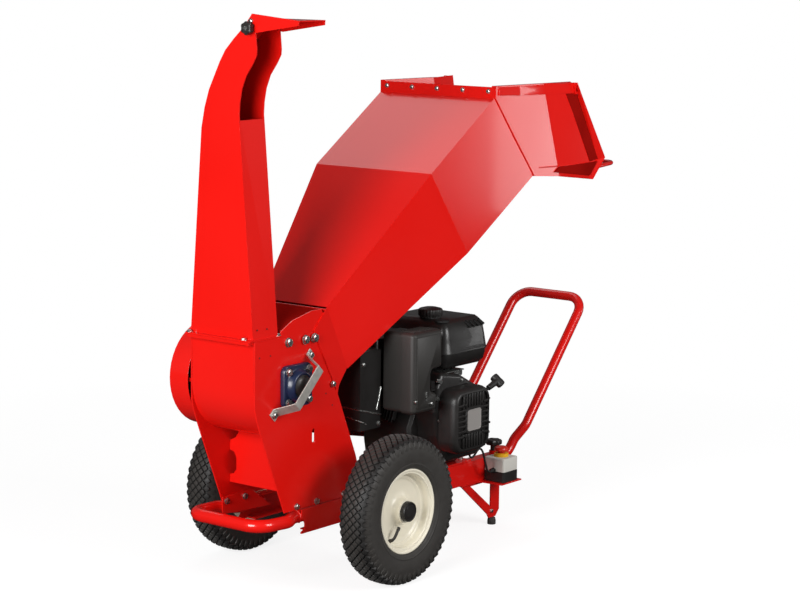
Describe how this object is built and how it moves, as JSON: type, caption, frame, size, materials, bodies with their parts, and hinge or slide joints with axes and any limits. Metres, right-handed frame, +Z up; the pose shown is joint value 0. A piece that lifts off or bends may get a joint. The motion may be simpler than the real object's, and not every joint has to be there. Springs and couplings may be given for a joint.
{
  "type": "petrol wood chipper",
  "caption": "Wheeled petrol wood chipper with a slanted feed hopper, tall discharge chute, belt-driven rotor housing, engine, tow bar and push handle.",
  "frame": {"origin": "on the floor under the middle of the whole machine", "axes": "+X from the discharge chute towards the push handle, -Y towards the side with the recoil starter and the stop switch, +Z up"},
  "size_m": [1.5748, 0.634, 1.5038],
  "materials": {
    "red_paint": "gloss powder coat",
    "cream_paint": "satin paint",
    "steel": "machined",
    "zinc_plate": "zinc plated",
    "blue_casting": "dark blue paint",
    "engine_casting": "black paint",
    "cast_aluminium": "as cast",
    "black_steel": "black paint",
    "black_cover": "black paint",
    "black_plastic": "satin moulded",
    "grey_plastic": "satin moulded",
    "red_plastic": "gloss moulded",
    "rubber": "matt",
    "tyre": "matt block tread",
    "braided_cord": "braided"
  },
  "bodies": {
    "frame": {"chassis_rail_near": "red_paint", "chassis_rail_far": "red_paint", "engine_plate": "red_paint", "axle": "steel", "tow_bar": "red_paint", "side_plate_near": "red_paint", "side_plate_far": "red_paint", "drum_wall": "red_paint", "housing_top": "red_paint", "anvil_bed": "steel", "cross_plate": "red_paint", "bearing_near": "blue_casting", "bearing_far": "blue_casting", "bearing_guard": "zinc_plate", "belt_guard": "red_paint", "drive_belt": "rubber", "chute": "red_paint", "hopper": "red_paint", "hopper_mouth": "red_paint", "grab_bar": "red_paint", "crankcase": "engine_casting", "cylinder": "engine_casting", "muffler": "black_steel", "air_filter_box": "black_plastic", "carburettor": "cast_aluminium", "fuel_tank": "black_steel", "fan_shroud": "black_cover", "recoil_cover": "black_plastic", "recoil_cord": "braided_cord", "switch_box": "grey_plastic", "stop_cable": "rubber", "rear_bracket": "red_paint", "stand_near": "red_paint", "stand_far": "red_paint", "foot_near": "rubber", "foot_far": "rubber"},
    "near_wheel": {"tyre_near": "tyre", "rim_near": "cream_paint", "wheel_disc_near": "cream_paint", "hub_cap_near": "black_plastic"},
    "far_wheel": {"tyre_far": "tyre", "rim_far": "cream_paint", "wheel_disc_far": "cream_paint", "hub_cap_far": "black_plastic"},
    "rotor": {"rotor_shaft": "steel", "rotor_drum": "black_steel", "knife_a": "steel", "knife_b": "steel", "rotor_pulley": "steel"},
    "crank": {"crankshaft": "steel", "clutch_pulley": "steel"},
    "hood": {"deflector_hood": "red_paint"},
    "hood_clamp": {"hood_knob": "black_plastic"},
    "handle": {"push_handle": "red_paint"},
    "handle_clamp": {"handle_knob": "black_plastic"},
    "stop": {"stop_button": "red_plastic"},
    "tank_cap": {"fuel_cap": "black_plastic"},
    "throttle": {"throttle_lever": "steel"},
    "choke": {"choke_lever": "steel"},
    "grip": {"recoil_grip": "black_plastic"}
  },
  "joints": [
    {"name": "near_wheel_roll", "type": "hinge", "parent": "frame", "child": "near_wheel", "pos_m": [-0.3741, -0.271, 0.2], "axis": [0, 1, 0], "continuous": true},
    {"name": "far_wheel_roll", "type": "hinge", "parent": "frame", "child": "far_wheel", "pos_m": [-0.3741, 0.271, 0.2], "axis": [0, 1, 0], "continuous": true},
    {"name": "rotor_spin", "type": "hinge", "parent": "frame", "child": "rotor", "pos_m": [-0.6061, 0, 0.548], "axis": [0, 1, 0], "continuous": true},
    {"name": "crank_spin", "type": "hinge", "parent": "frame", "child": "crank", "pos_m": [0.0209, 0, 0.362], "axis": [0, 1, 0], "continuous": true},
    {"name": "hood_tilt", "type": "hinge", "parent": "frame", "child": "hood", "pos_m": [-0.7166, -0.1, 1.468], "axis": [1, 0, 0], "range_deg": [0, 50]},
    {"name": "hood_clamp_turn", "type": "hinge", "parent": "frame", "child": "hood_clamp", "pos_m": [-0.7674, -0.1, 1.468], "axis": [1, 0, 0], "continuous": true},
    {"name": "handle_slide", "type": "slide", "parent": "frame", "child": "handle", "axis": [1, 0, 0], "range_m": [0, 0.06]},
    {"name": "handle_clamp_turn", "type": "hinge", "parent": "frame", "child": "handle_clamp", "pos_m": [0.3039, -0.0962, 0.22], "axis": [0, 0, 1], "continuous": true},
    {"name": "stop_press", "type": "slide", "parent": "frame", "child": "stop", "axis": [0, 0, -1], "range_m": [0, 0.005], "stiffness_N_per_m": 600, "springref_m": -0.001},
    {"name": "tank_cap_turn", "type": "hinge", "parent": "frame", "child": "tank_cap", "pos_m": [0.0179, -0.075, 0.646], "axis": [0, 0, 1], "continuous": true},
    {"name": "throttle_swing", "type": "hinge", "parent": "frame", "child": "throttle", "pos_m": [-0.0621, -0.1785, 0.485], "axis": [0, 1, 0], "range_deg": [-30, 15]},
    {"name": "choke_swing", "type": "hinge", "parent": "frame", "child": "choke", "pos_m": [-0.0741, -0.1785, 0.44], "axis": [0, 1, 0], "range_deg": [0, 35]},
    {"name": "starter_pull", "type": "slide", "parent": "frame", "child": "grip", "axis": [0.9507, 0, 0.3102], "range_m": [0, 0.5], "stiffness_N_per_m": 20, "springref_m": -0.2}
  ],
  "couplings": [
    {"joint": "crank_spin", "follows": "rotor_spin", "ratio": 1.8182}
  ]
}
